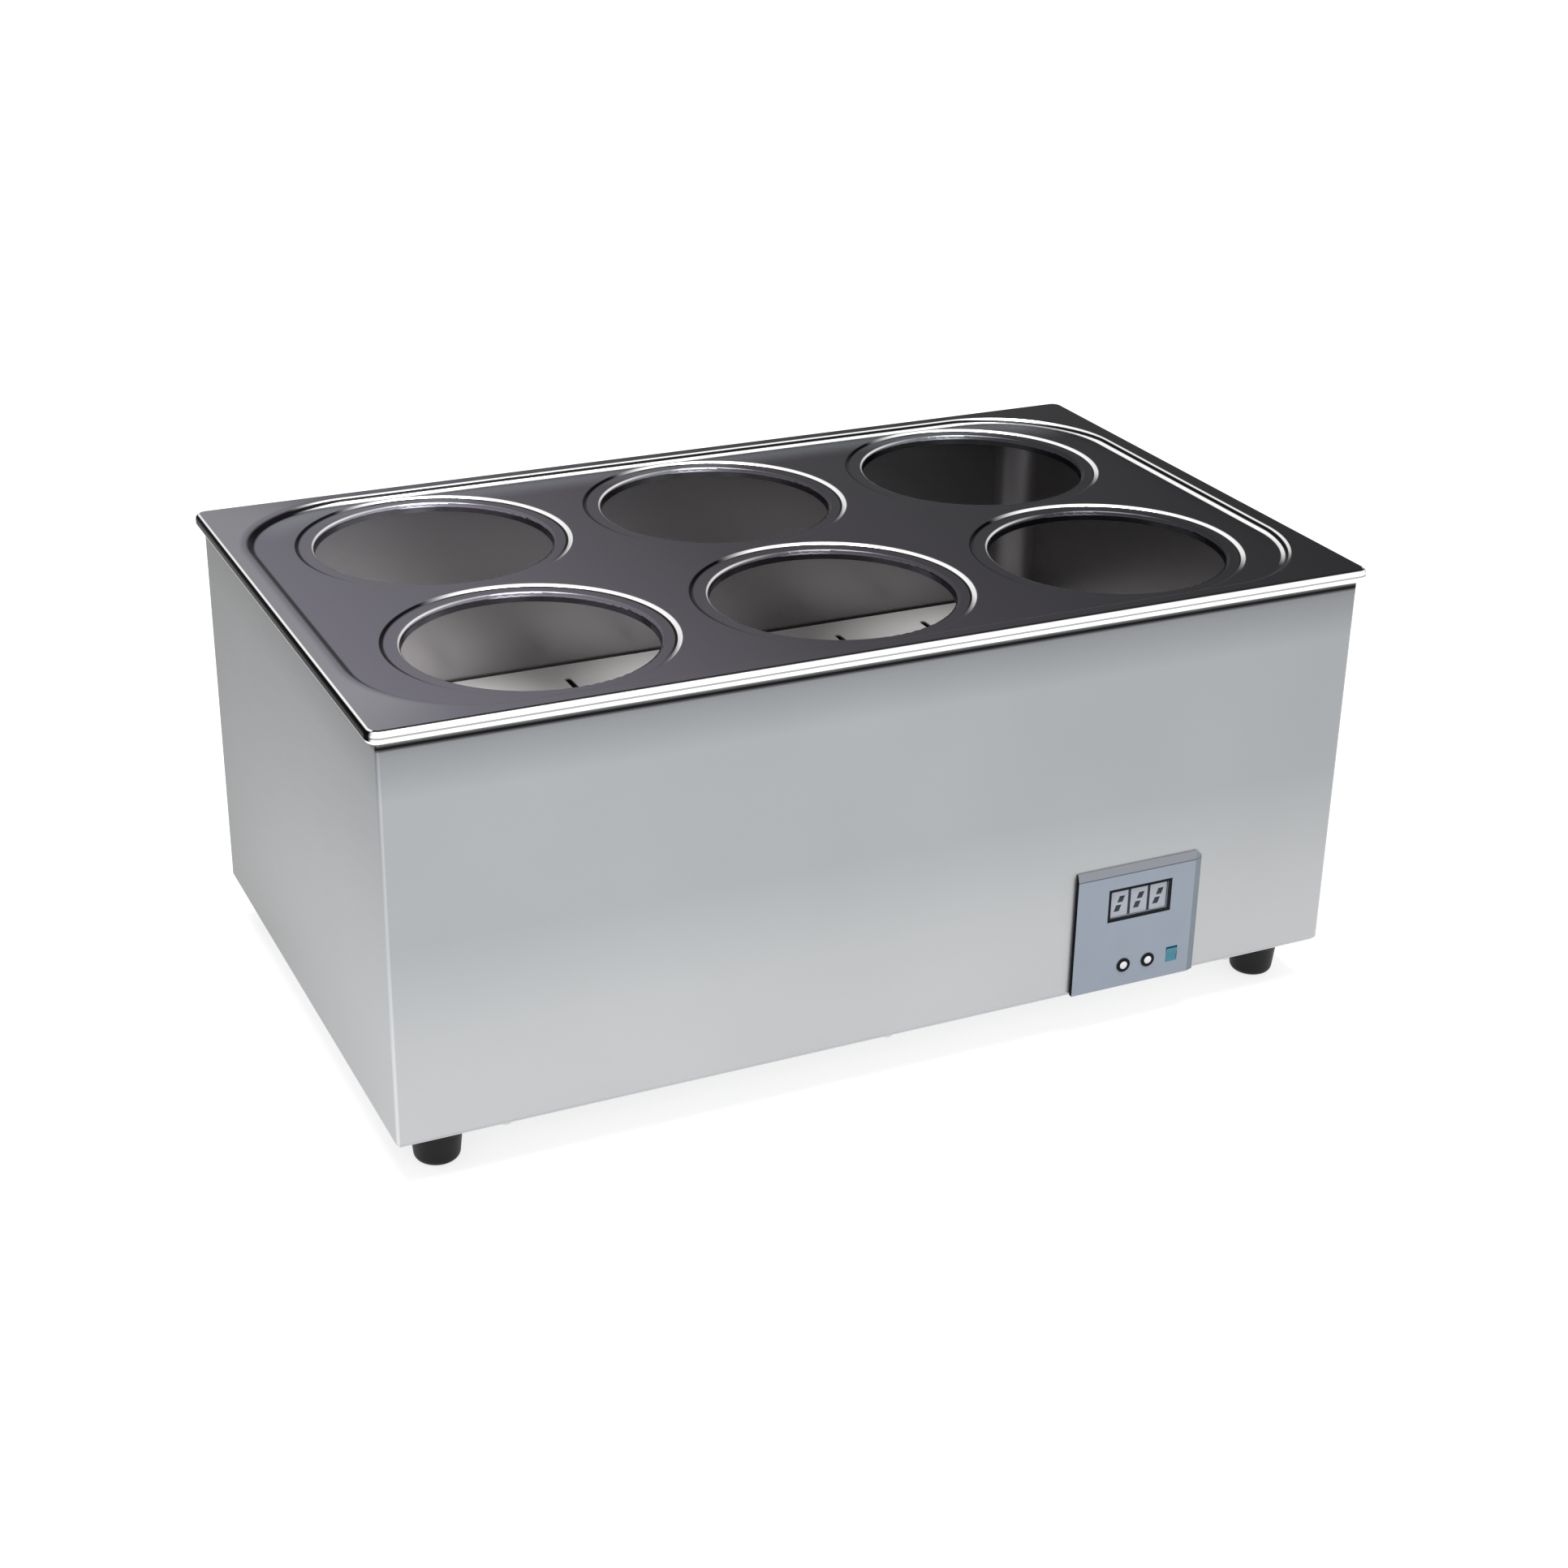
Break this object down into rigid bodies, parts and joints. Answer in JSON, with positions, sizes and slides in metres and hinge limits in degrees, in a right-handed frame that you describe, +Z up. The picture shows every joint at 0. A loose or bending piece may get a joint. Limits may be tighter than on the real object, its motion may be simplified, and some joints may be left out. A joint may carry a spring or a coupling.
{
  "type": "water bath",
  "caption": "Bench water bath: satin steel casing, lift-off cover with ring-seated openings, slotted shelf over a heater, digital control at lower right.",
  "frame": {"origin": "on the bench under the middle of the casing", "axes": "+Z up, +X to the right of someone facing the controls, -Y towards that person"},
  "size_m": [0.5714, 0.3406, 0.2574],
  "materials": {
    "casing_steel": "satin stainless sheet",
    "cover_steel": "polished stainless sheet",
    "tank_steel": "bright stainless sheet",
    "base_steel": "zinc-plated sheet",
    "fastener_steel": "bright plated steel",
    "foot_rubber": "matt black",
    "seal_silicone": "translucent silicone",
    "lagging_wool": "mineral wool",
    "heater_sheath": "annealed tube",
    "gland_brass": "turned",
    "terminal_bead": "glazed bead",
    "fascia_plastic": "blue-grey moulding",
    "window_plastic": "smoked window",
    "module_plastic": "light digit cells",
    "button_plastic": "pale caps",
    "black_plastic": "matt black moulding",
    "rocker_plastic": "teal",
    "board_laminate": "green board",
    "coil_tape": "yellow tape",
    "core_iron": "laminated iron",
    "relay_plastic": "blue case",
    "blade_brass": "plated blade"
  },
  "bodies": {
    "housing": {"casing": "casing_steel", "base_plate": "base_steel", "base_screws": "fastener_steel", "foot_front_left": "foot_rubber", "foot_front_right": "foot_rubber", "foot_rear_left": "foot_rubber", "foot_rear_right": "foot_rubber", "foot_screws": "fastener_steel", "foot_nuts": "fastener_steel", "tank": "tank_steel", "rim_gasket": "seal_silicone", "insulation_wrap": "lagging_wool", "insulation_base": "lagging_wool", "heater_element": "heater_sheath", "heater_glands": "gland_brass", "heater_seals": "seal_silicone", "heater_nuts": "gland_brass", "heater_terminals": "terminal_bead", "sensor_probe": "heater_sheath", "sensor_gland": "gland_brass", "sensor_seal": "seal_silicone", "sensor_nut": "gland_brass", "drain_nipple": "tank_steel", "drain_grommet": "foot_rubber", "control_fascia": "fascia_plastic", "fascia_clips": "fastener_steel", "display_window": "window_plastic", "display_module": "module_plastic", "button_bezels": "black_plastic", "button_switches": "black_plastic", "rocker_housing": "black_plastic", "control_board": "board_laminate", "control_board_screws": "fastener_steel", "board_standoffs": "fastener_steel", "power_board": "board_laminate", "power_board_screws": "fastener_steel", "transformer_core": "core_iron", "transformer_coils": "coil_tape", "relay": "relay_plastic", "terminal_block": "black_plastic", "mains_inlet": "black_plastic", "inlet_blades": "blade_brass", "inlet_screws": "fastener_steel", "inlet_nuts": "fastener_steel", "earth_stud": "fastener_steel", "earth_nut": "fastener_steel"},
    "lid": {"cover": "cover_steel"},
    "shelf_plate": {"shelf": "tank_steel"},
    "set_key": {"set_button": "button_plastic"},
    "shift_key": {"shift_button": "button_plastic"},
    "rocker": {"power_rocker": "rocker_plastic"},
    "plug": {"drain_plug": "tank_steel", "plug_seal": "seal_silicone"}
  },
  "joints": [
    {"name": "cover_lift", "type": "slide", "parent": "housing", "child": "lid", "axis": [0, 0, 1], "range_m": [0, 0.06]},
    {"name": "shelf_lift", "type": "slide", "parent": "housing", "child": "shelf_plate", "axis": [0, 0, 1], "range_m": [0, 0.095]},
    {"name": "set_button_press", "type": "slide", "parent": "housing", "child": "set_key", "axis": [0, 1, 0], "range_m": [0, 0.0012], "stiffness_N_per_m": 600, "springref_m": -0.0005},
    {"name": "shift_button_press", "type": "slide", "parent": "housing", "child": "shift_key", "axis": [0, 1, 0], "range_m": [0, 0.0012], "stiffness_N_per_m": 600, "springref_m": -0.0005},
    {"name": "rocker_tilt", "type": "hinge", "parent": "housing", "child": "rocker", "pos_m": [0.177, -0.164, 0.0392], "axis": [1, 0, 0], "range_deg": [-10, 0]},
    {"name": "drain_plug_draw", "type": "slide", "parent": "housing", "child": "plug", "axis": [0, 1, 0], "range_m": [0, 0.03]}
  ]
}
